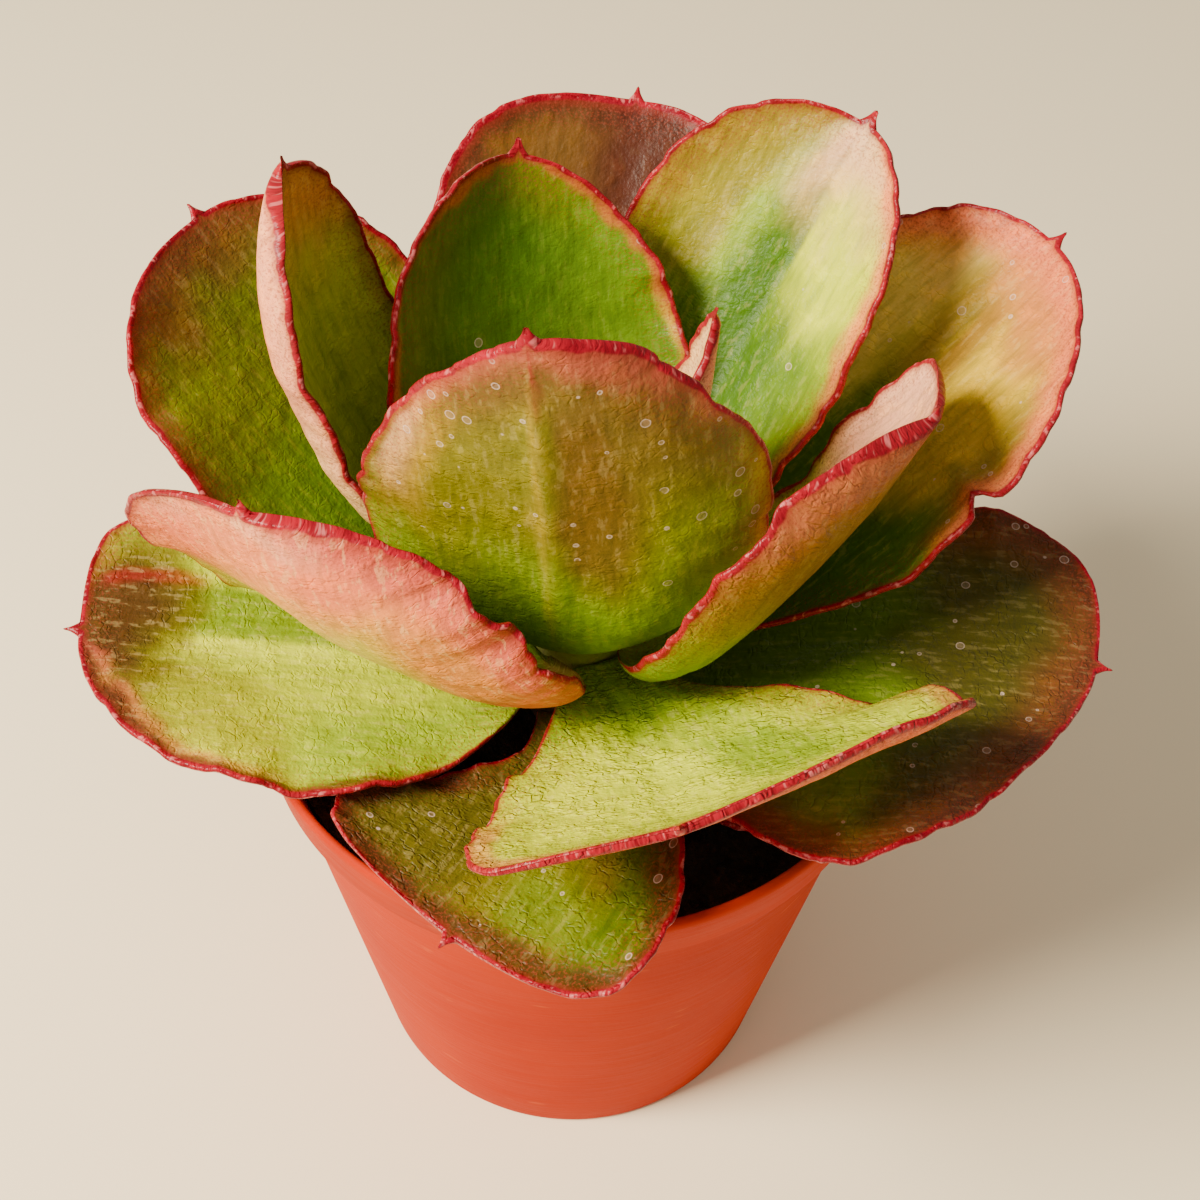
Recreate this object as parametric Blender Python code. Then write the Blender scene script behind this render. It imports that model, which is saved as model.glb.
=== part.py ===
"""Potted echeveria: a rosette of broad, waved leaves on a short stem, in a round plastic pot.

Lengths are in metres and +Z is up.  The origin is the centre of the pot's flat underside.
"""
from math import cos, pi, sin

import bpy
import numpy as np

MM = 0.001
TOUCH_GAP = 0.3 * MM
ROUND_SEGMENTS = 56

POT_HEIGHT = 92 * MM
POT_RIM_RADIUS = 52.5 * MM
POT_FOOT_RADIUS = 37.5 * MM
POT_WALL = 1.4 * MM
POT_FLOOR = 2 * MM
RIM_BAND_HEIGHT = 10 * MM
RIM_BAND_STEP = 2 * MM
DRAIN_HOLE_RADIUS = 3.5 * MM
DRAIN_HOLE_CIRCLE = 25 * MM
DRAIN_HOLE_COUNT = 4

SOIL_LEVEL = 83 * MM
SOIL_LUMP = 0.9 * MM
STEM_FOOT = 66 * MM
STEM_TOP = 118 * MM
STEM_LOW_RADIUS = 9 * MM
STEM_TOP_RADIUS = 6 * MM

LEAF_ROWS = 14
LEAF_COLUMNS = 11
BASE_WIDTH_SHARE = 0.26
BASE_HALF_WIDTH = 6 * MM
MUCRO_LENGTH = 2.4 * MM
MUCRO_HALF_WIDTH = 1.2 * MM
BASE_THICKNESS = 3 * MM
MIDDLE_THICKNESS = 3.4 * MM
MARGIN_THICKNESS = 1 * MM
MIDRIB_FOLD = 4

# One row a leaf, lengths in millimetres and angles in degrees.  Of a leaf's two flanks the first is the
# clockwise one, seen from above.  Pairs of values are for the first and the second flank, unless said.
# azimuth: where the leaf points, 0 along +X and 90 along +Y
# sweep: bend of the tip towards the second flank, within the blade
# height: of the base on the stem
# lean: share by which the second flank is wider, and the first narrower, than half the width
# rise: slope of the midrib at the stem, at a third of the length and at the tip
# curl: how far each flank rolls up
# roll: tilt about the midrib at the base and at the tip, which lifts the second flank
# widest: share of the length at which each flank is widest
# blunt: how each flank ends, 1 for round, less for square and more for pointed
# waist: how slowly each flank widens from its base
# wave: height of the margin's waves, and their phase
LEAVES = {
    "leaf_front_upright": dict(
        azimuth=264, sweep=-7, height=106, length=73, width=60, lean=0.02, rise=(45, 85, 84),
        curl=(20, 45), widest=(0.5, 0.52), blunt=(1.35, 1.2), waist=(0.65, 0.8), wave=(1.1, 60),
    ),
    "leaf_back_centre": dict(
        azimuth=121, sweep=-18, height=111, length=60, width=52, rise=(45, 62, 60), curl=(45, 45),
        widest=(0.47, 0.47), blunt=(1.1, 1.1), wave=(0.8, 120),
    ),
    "leaf_back_right": dict(
        azimuth=53.5, sweep=-8, height=105, length=79, width=48, lean=0.1, rise=(35, 50, 53),
        curl=(45, 40), widest=(0.55, 0.6), blunt=(1, 0.9), wave=(1, 200),
    ),
    "leaf_right_back": dict(
        azimuth=28, height=97.5, length=88, width=60, lean=-0.08, rise=(24, 38, 40), curl=(25, 20),
        widest=(0.55, 0.62), blunt=(1, 0.95), waist=(1, 0.65), wave=(1.2, 300),
    ),
    "leaf_left_upright": dict(
        azimuth=159, height=106, length=81, width=36, lean=0.2, rise=(16, 52, 94), curl=(40, 80),
        widest=(0.5, 0.6), waist=(1.3, 0.65), wave=(0.6, 90),
    ),
    "leaf_left_back": dict(
        azimuth=149, height=101, length=79, width=58, lean=0.15, rise=(20, 40, 42), curl=(30, 10),
        blunt=(1, 0.8), wave=(0.9, 40),
    ),
    "leaf_far_back": dict(
        azimuth=88, sweep=-4, height=92, length=88, width=58, lean=0.12, rise=(18, 39, 46),
        curl=(20, 20), blunt=(0.8, 0.65), wave=(1, 150),
    ),
    "leaf_low_back": dict(
        azimuth=114, height=87, length=70, width=40, rise=(8, 24, 32), curl=(20, 20),
    ),
    "leaf_right_curled": dict(
        azimuth=356, height=101.5, length=64, width=50, lean=-0.2, rise=(22, 50, 66),
        curl=(68, 30), roll=(0, -22), widest=(0.35, 0.85), waist=(0.45, 2.5), wave=(0.7, 0),
    ),
    "leaf_right_low": dict(
        azimuth=358, sweep=-10, height=93.5, length=73, width=73, lean=-0.26, rise=(10, 15, 0),
        curl=(15, 15), widest=(0.52, 0.6), blunt=(1.3, 0.65), waist=(0.65, 1.2), wave=(1, 250),
    ),
    "leaf_front": dict(
        azimuth=291, sweep=-14, height=98.6, length=60, width=72, lean=0.22, rise=(4, 22, 54),
        curl=(5, 5), roll=(0, 4), widest=(0.85, 0.75), waist=(1.4, 1.5), wave=(1.2, 80),
    ),
    "leaf_left_curled": dict(
        azimuth=208, height=98, length=68, width=60, lean=0.1, rise=(17, 37, 84), curl=(-25, 50),
        roll=(10, 35), widest=(0.58, 0.35), blunt=(0.65, 0.8), waist=(0.65, 0.4), wave=(1, 180),
    ),
    "leaf_left_low": dict(
        azimuth=187, height=91.3, length=70, width=54, lean=0.2, rise=(6, 14, 9), curl=(15, 15),
        widest=(0.85, 0.5), blunt=(0.6, 1), wave=(1, 20),
    ),
    "leaf_front_low": dict(
        azimuth=268, sweep=-34, height=86.9, length=50, width=54, rise=(9, 17, -2), curl=(15, 15),
        widest=(0.8, 0.75), blunt=(0.65, 0.6), waist=(3, 1.5), wave=(0.8, 220),
    ),
    "leaf_low_right_front": dict(
        azimuth=322, height=89.9, length=44, width=26, rise=(6, 9, 5), curl=(10, 10),
        waist=(1.5, 0.65), wave=(0.4, 0),
    ),
    "leaf_inner_right": dict(
        azimuth=9, height=112, length=49, width=20, lean=-0.3, rise=(55, 86, 80), curl=(60, 60),
        widest=(0.4, 0.4), blunt=(1.3, 1.3), wave=(0.5, 0),
    ),
    "leaf_bud_left": dict(
        azimuth=196, height=113, length=35, width=18, rise=(55, 84, 84), curl=(60, 60),
        blunt=(1.2, 1.2), wave=(0.3, 0),
    ),
    "leaf_bud_back": dict(
        azimuth=120, height=115.5, length=24, width=11, rise=(70, 88, 88), curl=(60, 60),
        blunt=(1.2, 1.2), wave=(0.2, 0),
    ),
}


def leaf_outline(rows, length, width, lean, widest, blunt, waist):
    """Distances along the midrib, closer towards the tip, and how far the two flanks reach there."""
    share = np.sin(np.linspace(0, pi / 2, rows))
    base = min(BASE_WIDTH_SHARE, 2 * BASE_HALF_WIDTH / width)
    reaches = []
    for k, side_share in enumerate((1 - lean, 1 + lean)):
        opening = np.sin(pi / 2 * np.minimum(share / widest[k], 1)) ** waist[k]
        closing = np.clip((share - widest[k]) / (1 - widest[k]), 0, 1)
        reach = base + (side_share - base) * opening
        reach = reach * (1 - closing ** (2 / blunt[k])) ** (blunt[k] / 2)
        reaches.append(np.maximum(reach * width / 2, MUCRO_HALF_WIDTH))
    return share * length, reaches


def midrib(distances, azimuth, height, rise, sweep, roll, length):
    """Points, headings, side directions and upper normals of a leaf at the given distances."""
    steps = np.linspace(0, 1.1 * length, 221)
    share = steps / length
    slope = np.radians(np.interp(share, (0, 0.33, 1), rise))
    heading = np.radians(azimuth)
    level = np.array([cos(heading), sin(heading), 0])
    straight = np.cos(slope)[:, None] * level + np.sin(slope)[:, None] * np.array([0, 0, 1])
    square = np.array([-sin(heading), cos(heading), 0])
    bend = np.radians(sweep * share)[:, None]
    ahead = straight * np.cos(bend) + square * np.sin(bend)
    side = square * np.cos(bend) - straight * np.sin(bend)
    upper = np.cross(ahead, side)
    twist = np.radians(roll[0] + (roll[1] - roll[0]) * share)[:, None]
    rolled_side = side * np.cos(twist) + upper * np.sin(twist)
    rolled_upper = upper * np.cos(twist) - side * np.sin(twist)
    radius = stem_radius(height) + TOUCH_GAP + 0.2 * BASE_THICKNESS * sin(slope[0])
    start = np.array([radius * cos(heading), radius * sin(heading), height])
    moves = 0.5 * (ahead[1:] + ahead[:-1]) * np.diff(steps)[:, None]
    points = start + np.concatenate([np.zeros((1, 3)), np.cumsum(moves, 0)])
    return [
        np.stack([np.interp(distances, steps, curve[:, k]) for k in range(3)], 1)
        for curve in (points, ahead, rolled_side, rolled_upper)
    ]


def flank(across, curl):
    """Sideways and upward reach and slope of a flank at shares of its width, for a width of one."""
    fine = np.linspace(0, 1, 41)
    slope = np.radians(MIDRIB_FOLD) * np.minimum(1, fine / 0.2) + np.radians(curl) * fine ** 2
    step = fine[1]
    out = np.concatenate([[0], np.cumsum(np.cos(0.5 * (slope[1:] + slope[:-1])) * step)])
    up = np.concatenate([[0], np.cumsum(np.sin(0.5 * (slope[1:] + slope[:-1])) * step)])
    return np.interp(across, fine, out), np.interp(across, fine, up), np.interp(across, fine, slope)


def leaf_surfaces(rows, columns, azimuth, height, length, width, rise, curl,
                  roll=(0, 0), sweep=0, lean=0, widest=(0.58, 0.58), blunt=(0.8, 0.8),
                  waist=(0.65, 0.65), wave=(0.8, 0)):
    """Upper and lower faces of a leaf as grids of points, and the tip of its mucro."""
    length = length * MM
    width = width * MM
    distances, reaches = leaf_outline(rows, length, width, lean, widest, blunt, waist)
    points, ahead, side, upper = midrib(distances, azimuth, height * MM, rise, sweep, roll, length)
    top = np.zeros((rows, columns, 3))
    under = np.zeros((rows, columns, 3))
    across = np.linspace(-1, 1, columns)
    share = distances / length
    middle = np.interp(share, (0, 0.25, 0.8, 1), (BASE_THICKNESS, MIDDLE_THICKNESS, 2.4 * MM, 1.4 * MM))
    ripple = wave[0] * MM * np.sin(2 * pi * 3.3 * share + np.radians(wave[1])) * np.sin(pi * share) ** 0.5
    for column, place in enumerate(across):
        sign = 1 if place > 0 else -1
        reach = reaches[1] if place > 0 else reaches[0]
        out, up, slope = flank(abs(place), curl[1] if place > 0 else curl[0])
        lift = reach * up + ripple * abs(place) ** 3 * (1 if place > 0 else -0.8)
        normal = upper * cos(slope) - side * (sign * sin(slope))
        thickness = MARGIN_THICKNESS + (middle - MARGIN_THICKNESS) * (1 - place ** 2)
        top[:, column] = points + side * (sign * reach * out)[:, None] + upper * lift[:, None]
        under[:, column] = top[:, column] - normal * thickness[:, None]
    tip = points[-1] + ahead[-1] * MUCRO_LENGTH - upper[-1] * 0.5 * MARGIN_THICKNESS
    return top, under, tip


def stem_radius(height):
    """Radius of the stem at a height."""
    share = (height - SOIL_LEVEL) / (STEM_TOP - SOIL_LEVEL)
    return STEM_LOW_RADIUS + (STEM_TOP_RADIUS - STEM_LOW_RADIUS) * min(max(share, 0), 1)


def leaf_mesh(row):
    """Closed mesh of one leaf: two faces triangulated alike, edges round them and a pointed mucro."""
    top, under, tip = leaf_surfaces(LEAF_ROWS, LEAF_COLUMNS, **row)
    rows, columns = top.shape[:2]
    under_start = rows * columns
    points = np.concatenate([top.reshape(-1, 3), under.reshape(-1, 3), tip[None]])
    tip_index = len(points) - 1
    faces = []
    for i in range(rows - 1):
        for j in range(columns - 1):
            corners = [i * columns + j, (i + 1) * columns + j, (i + 1) * columns + j + 1, i * columns + j + 1]
            a, b, c, d = corners
            faces += [(a, b, c), (a, c, d)]
            a, b, c, d = (corner + under_start for corner in corners)
            faces += [(a, c, b), (a, d, c)]
        right, right_next = i * columns, (i + 1) * columns
        left, left_next = right + columns - 1, right_next + columns - 1
        for a, b in ((right_next, right), (left, left_next)):
            faces += [(a, b, b + under_start), (a, b + under_start, a + under_start)]
    last = (rows - 1) * columns
    for j in range(columns - 1):
        faces += [(j, j + 1, j + 1 + under_start), (j, j + 1 + under_start, j + under_start)]
        faces += [(last + j + 1, last + j, tip_index)]
        faces += [(last + j + under_start, last + j + 1 + under_start, tip_index)]
    right, left = last, last + columns - 1
    faces += [(right, right + under_start, tip_index), (left + under_start, left, tip_index)]
    return points, faces


def lathe_mesh(profile, segments=ROUND_SEGMENTS):
    """Closed mesh of a profile turned about Z, from its axis point below to its axis point above."""
    angles = 2 * pi * np.arange(segments) / segments
    rings = profile[1:-1]
    points = [(0, 0, profile[0][1])]
    for radius, z in rings:
        points += [(radius * cos(a), radius * sin(a), z) for a in angles]
    points.append((0, 0, profile[-1][1]))
    last = len(points) - 1
    faces = []
    for k in range(segments):
        after = (k + 1) % segments
        faces.append((0, 1 + after, 1 + k))
        for ring in range(len(rings) - 1):
            low = 1 + ring * segments
            high = low + segments
            faces.append((low + k, low + after, high + after, high + k))
        top = 1 + (len(rings) - 1) * segments
        faces.append((top + k, top + after, last))
    return np.array(points), faces


def pot_profile():
    """Radius and height along the pot's section, from under its floor over the rim to the floor inside."""
    band_foot = POT_HEIGHT - RIM_BAND_HEIGHT
    band_foot_radius = POT_RIM_RADIUS - 1 * MM
    wall_top_radius = band_foot_radius - RIM_BAND_STEP
    return [
        (0, 0),
        (POT_FOOT_RADIUS - 1 * MM, 0),
        (POT_FOOT_RADIUS, 1 * MM),
        (wall_top_radius, band_foot),
        (band_foot_radius, band_foot + 0.8 * MM),
        (POT_RIM_RADIUS, POT_HEIGHT - 0.5 * MM),
        (POT_RIM_RADIUS - 0.5 * MM, POT_HEIGHT),
        (POT_RIM_RADIUS - POT_WALL + 0.3 * MM, POT_HEIGHT),
        (POT_RIM_RADIUS - POT_WALL, POT_HEIGHT - 0.4 * MM),
        (wall_top_radius - POT_WALL, band_foot - 1 * MM),
        (POT_FOOT_RADIUS - POT_WALL, POT_FLOOR),
        (0, POT_FLOOR),
    ]


def pot_inner_radius(z):
    """Radius of the pot's inside at a height."""
    profile = pot_profile()
    heights = [profile[k][1] for k in (10, 9, 8)]
    radii = [profile[k][0] for k in (10, 9, 8)]
    return float(np.interp(z, heights, radii))


def add_piece(name, points, faces, material):
    """Object with a smooth-shaded mesh and one material."""
    mesh = bpy.data.meshes.new(name)
    mesh.from_pydata([tuple(point) for point in points], [], faces)
    mesh.polygons.foreach_set("use_smooth", [True] * len(mesh.polygons))
    mesh.materials.append(material)
    piece = bpy.data.objects.new(name, mesh)
    bpy.context.scene.collection.objects.link(piece)
    return piece


def principled(name, color, roughness):
    """Principled material of one plain colour."""
    material = bpy.data.materials.new(name)
    material.use_nodes = True
    shader = material.node_tree.nodes["Principled BSDF"]
    shader.inputs["Base Color"].default_value = (*color, 1)
    shader.inputs["Roughness"].default_value = roughness
    material.diffuse_color = (*color, 1)
    return material


def drain_hole_cutter():
    """Short cylinders in one mesh, standing where the pot's floor is pierced."""
    points = []
    faces = []
    for hole in range(DRAIN_HOLE_COUNT):
        around = 2 * pi * (hole + 0.5) / DRAIN_HOLE_COUNT
        centre = np.array([DRAIN_HOLE_CIRCLE * cos(around), DRAIN_HOLE_CIRCLE * sin(around), 0])
        plug, plug_faces = lathe_mesh(
            [(0, -5 * MM), (DRAIN_HOLE_RADIUS, -5 * MM), (DRAIN_HOLE_RADIUS, 5 * MM), (0, 5 * MM)], 16)
        faces += [tuple(corner + len(points) for corner in face) for face in plug_faces]
        points += list(plug + centre)
    return add_piece("drain_hole_cutter", points, faces, None)


def add_pot():
    """Thin-walled pot with a rim band and a pierced floor."""
    points, faces = lathe_mesh(pot_profile())
    pot = add_piece("pot", points, faces, principled("pot_plastic", (0.72, 0.25, 0.09), 0.4))
    cutter = drain_hole_cutter()
    cut = pot.modifiers.new("drain_holes", "BOOLEAN")
    cut.operation = "DIFFERENCE"
    cut.solver = "EXACT"
    cut.object = cutter
    pierced = bpy.data.meshes.new_from_object(pot.evaluated_get(bpy.context.evaluated_depsgraph_get()))
    pot.modifiers.clear()
    pot.data = pierced
    bpy.data.objects.remove(cutter)
    return pot


def soil_profile():
    """Section of the soil, from under it round the pot's inside to the foot of the stem's hole."""
    low = POT_FLOOR + TOUCH_GAP
    wall_gap = TOUCH_GAP + 0.1 * MM
    knee = POT_HEIGHT - RIM_BAND_HEIGHT - 1 * MM
    hole = STEM_LOW_RADIUS + TOUCH_GAP
    edge = pot_inner_radius(SOIL_LEVEL) - wall_gap
    rings = [(hole + (edge - hole) * share, SOIL_LEVEL) for share in (0.84, 0.66, 0.48, 0.32, 0.16, 0)]
    return [
        (0, low),
        (pot_inner_radius(low) - wall_gap, low),
        (pot_inner_radius(knee) - wall_gap, knee),
        (edge, SOIL_LEVEL - 0.5 * MM),
        *rings,
        (hole, STEM_FOOT - TOUCH_GAP),
        (0, STEM_FOOT - TOUCH_GAP),
    ]


def add_soil():
    """Soil filling the pot, lumpy on top, with a plain hole for the stem."""
    points, faces = lathe_mesh(soil_profile())
    lumps = np.random.default_rng(7)
    first = 1 + 3 * ROUND_SEGMENTS
    loose = slice(first, first + 5 * ROUND_SEGMENTS)
    points[loose, 2] += lumps.uniform(-SOIL_LUMP, SOIL_LUMP, 5 * ROUND_SEGMENTS)
    return add_piece("soil", points, faces, principled("soil_mix", (0.03, 0.02, 0.015), 0.95))


def add_stem():
    """Tapering stem, sunk in the soil's hole and hidden under the leaves."""
    heights = (STEM_FOOT, SOIL_LEVEL, 92 * MM, 100 * MM, 108 * MM, STEM_TOP)
    rings = [(stem_radius(z), z) for z in heights]
    points, faces = lathe_mesh([(0, STEM_FOOT), *rings, (0, STEM_TOP)], 24)
    return add_piece("stem", points, faces, principled("stem_bark", (0.3, 0.2, 0.1), 0.8))


def add_leaf(name, row, material):
    """One leaf from its row of the table."""
    points, faces = leaf_mesh(row)
    return add_piece(name, points, faces, material)


def build():
    """Every piece of the plant in its pot."""
    for leftover in list(bpy.data.objects):
        bpy.data.objects.remove(leftover)
    add_pot()
    add_soil()
    add_stem()
    leaf_skin = principled("leaf_skin", (0.25, 0.33, 0.1), 0.45)
    for name, row in LEAVES.items():
        add_leaf(name, row, leaf_skin)


build()
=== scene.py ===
"""Looks of the potted echeveria: fine leaves, pot, soil and stem with procedural materials."""

from math import cos, pi, radians, sin

import bpy
import numpy as np
from mathutils import Matrix, noise


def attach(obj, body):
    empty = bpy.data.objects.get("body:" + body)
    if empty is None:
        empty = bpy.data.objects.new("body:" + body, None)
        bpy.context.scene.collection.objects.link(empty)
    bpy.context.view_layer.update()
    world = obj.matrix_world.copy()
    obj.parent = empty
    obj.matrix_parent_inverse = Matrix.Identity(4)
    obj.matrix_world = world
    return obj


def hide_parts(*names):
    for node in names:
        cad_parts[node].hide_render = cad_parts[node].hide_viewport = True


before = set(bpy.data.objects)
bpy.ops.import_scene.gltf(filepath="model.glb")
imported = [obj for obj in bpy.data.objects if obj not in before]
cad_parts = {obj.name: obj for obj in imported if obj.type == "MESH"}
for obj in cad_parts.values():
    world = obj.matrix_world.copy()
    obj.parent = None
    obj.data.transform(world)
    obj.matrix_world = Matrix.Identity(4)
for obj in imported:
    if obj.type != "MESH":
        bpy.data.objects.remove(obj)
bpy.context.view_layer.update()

MM = 0.001
TOUCH_GAP = 0.3 * MM

POT_HEIGHT = 92 * MM
POT_RIM_RADIUS = 52.5 * MM
POT_FOOT_RADIUS = 37.5 * MM
POT_WALL = 1.4 * MM
POT_FLOOR = 2 * MM
RIM_BAND_HEIGHT = 10 * MM
RIM_BAND_STEP = 2 * MM
DRAIN_HOLE_RADIUS = 3.5 * MM
DRAIN_HOLE_CIRCLE = 25 * MM
DRAIN_HOLE_COUNT = 4
POT_SEGMENTS = 224

SOIL_LEVEL = 83 * MM
STEM_FOOT = 66 * MM
STEM_TOP = 118 * MM
STEM_LOW_RADIUS = 9 * MM
STEM_TOP_RADIUS = 6 * MM

LEAF_ROWS = 112
LEAF_COLUMNS = 65
MUCRO_ROWS = 8
BASE_WIDTH_SHARE = 0.26
BASE_HALF_WIDTH = 6 * MM
MUCRO_LENGTH = 2.4 * MM
MUCRO_HALF_WIDTH = 1.2 * MM
BASE_THICKNESS = 3 * MM
MIDDLE_THICKNESS = 3.4 * MM
MARGIN_THICKNESS = 1 * MM
MARGIN_ROUNDING = 0.5 * MM
MIDRIB_FOLD = 4

CAMERA_TARGET = (0.003, 0, 0.1052)
CAMERA_DISTANCE = 0.276
CAMERA_ELEVATION = 48.4
CAMERA_ROLL = 2.3
CAMERA_LENS = 52.8

# The same leaves as the CAD part, lengths in millimetres and angles in degrees.
LEAVES = {
    "leaf_front_upright": dict(
        azimuth=264, sweep=-7, height=106, length=73, width=60, lean=0.02, rise=(45, 85, 84),
        curl=(20, 45), widest=(0.5, 0.52), blunt=(1.35, 1.2), waist=(0.65, 0.8), wave=(1.1, 60),
    ),
    "leaf_back_centre": dict(
        azimuth=121, sweep=-18, height=111, length=60, width=52, rise=(45, 62, 60), curl=(45, 45),
        widest=(0.47, 0.47), blunt=(1.1, 1.1), wave=(0.8, 120),
    ),
    "leaf_back_right": dict(
        azimuth=53.5, sweep=-8, height=105, length=79, width=48, lean=0.1, rise=(35, 50, 53),
        curl=(45, 40), widest=(0.55, 0.6), blunt=(1, 0.9), wave=(1, 200),
    ),
    "leaf_right_back": dict(
        azimuth=28, height=97.5, length=88, width=60, lean=-0.08, rise=(24, 38, 40), curl=(25, 20),
        widest=(0.55, 0.62), blunt=(1, 0.95), waist=(1, 0.65), wave=(1.2, 300),
    ),
    "leaf_left_upright": dict(
        azimuth=159, height=106, length=81, width=36, lean=0.2, rise=(16, 52, 94), curl=(40, 80),
        widest=(0.5, 0.6), waist=(1.3, 0.65), wave=(0.6, 90),
    ),
    "leaf_left_back": dict(
        azimuth=149, height=101, length=79, width=58, lean=0.15, rise=(20, 40, 42), curl=(30, 10),
        blunt=(1, 0.8), wave=(0.9, 40),
    ),
    "leaf_far_back": dict(
        azimuth=88, sweep=-4, height=92, length=88, width=58, lean=0.12, rise=(18, 39, 46),
        curl=(20, 20), blunt=(0.8, 0.65), wave=(1, 150),
    ),
    "leaf_low_back": dict(
        azimuth=114, height=87, length=70, width=40, rise=(8, 24, 32), curl=(20, 20),
    ),
    "leaf_right_curled": dict(
        azimuth=356, height=101.5, length=64, width=50, lean=-0.2, rise=(22, 50, 66),
        curl=(68, 30), roll=(0, -22), widest=(0.35, 0.85), waist=(0.45, 2.5), wave=(0.7, 0),
    ),
    "leaf_right_low": dict(
        azimuth=358, sweep=-10, height=93.5, length=73, width=73, lean=-0.26, rise=(10, 15, 0),
        curl=(15, 15), widest=(0.52, 0.6), blunt=(1.3, 0.65), waist=(0.65, 1.2), wave=(1, 250),
    ),
    "leaf_front": dict(
        azimuth=291, sweep=-14, height=98.6, length=60, width=72, lean=0.22, rise=(4, 22, 54),
        curl=(5, 5), roll=(0, 4), widest=(0.85, 0.75), waist=(1.4, 1.5), wave=(1.2, 80),
    ),
    "leaf_left_curled": dict(
        azimuth=208, height=98, length=68, width=60, lean=0.1, rise=(17, 37, 84), curl=(-25, 50),
        roll=(10, 35), widest=(0.58, 0.35), blunt=(0.65, 0.8), waist=(0.65, 0.4), wave=(1, 180),
    ),
    "leaf_left_low": dict(
        azimuth=187, height=91.3, length=70, width=54, lean=0.2, rise=(6, 14, 9), curl=(15, 15),
        widest=(0.85, 0.5), blunt=(0.6, 1), wave=(1, 20),
    ),
    "leaf_front_low": dict(
        azimuth=268, sweep=-34, height=86.9, length=50, width=54, rise=(9, 17, -2), curl=(15, 15),
        widest=(0.8, 0.75), blunt=(0.65, 0.6), waist=(3, 1.5), wave=(0.8, 220),
    ),
    "leaf_low_right_front": dict(
        azimuth=322, height=89.9, length=44, width=26, rise=(6, 9, 5), curl=(10, 10),
        waist=(1.5, 0.65), wave=(0.4, 0),
    ),
    "leaf_inner_right": dict(
        azimuth=9, height=112, length=49, width=20, lean=-0.3, rise=(55, 86, 80), curl=(60, 60),
        widest=(0.4, 0.4), blunt=(1.3, 1.3), wave=(0.5, 0),
    ),
    "leaf_bud_left": dict(
        azimuth=196, height=113, length=35, width=18, rise=(55, 84, 84), curl=(60, 60),
        blunt=(1.2, 1.2), wave=(0.3, 0),
    ),
    "leaf_bud_back": dict(
        azimuth=120, height=115.5, length=24, width=11, rise=(70, 88, 88), curl=(60, 60),
        blunt=(1.2, 1.2), wave=(0.2, 0),
    ),
}

# Leaf colours.
DEEP_GREEN = (0.045, 0.125, 0.001)
GREEN = (0.09, 0.18, 0.002)
BRIGHT_GREEN = (0.19, 0.32, 0.004)
OLIVE = (0.16, 0.14, 0.005)
DARK_OLIVE = (0.07, 0.062, 0.006)
LIME = (0.46, 0.54, 0.003)
PALE_LIME = (0.7, 0.78, 0.006)
YELLOW = (0.65, 0.42, 0.01)
TAN = (0.52, 0.27, 0.02)
BRONZE = (0.3, 0.11, 0.015)
BROWN = (0.14, 0.045, 0.012)
MAROON = (0.06, 0.012, 0.008)
DEEP_RED = (0.3, 0.008, 0.012)
CORAL = (0.7, 0.07, 0.03)
ROSE = (0.62, 0.1, 0.07)
PINK = (0.8, 0.17, 0.07)
PALE_PINK = (0.92, 0.42, 0.26)
SALMON = (0.8, 0.18, 0.05)
CREAM = (0.85, 0.62, 0.15)


def along(low, rise, fall, high):
    """Limits along the leaf, as shares of its length."""
    return ("along", low, rise, fall, high)


def across(low, rise, fall, high):
    """Limits across the leaf, from -1 at the first margin to 1 at the second."""
    return ("across", low, rise, fall, high)


def tipward(low, rise):
    """From a share of the length to the tip."""
    return ("along", low, rise, 9, 10)


def rimward(full, none):
    """Near the margin, in millimetres."""
    return ("inwards", -20, -19, full, none)
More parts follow.
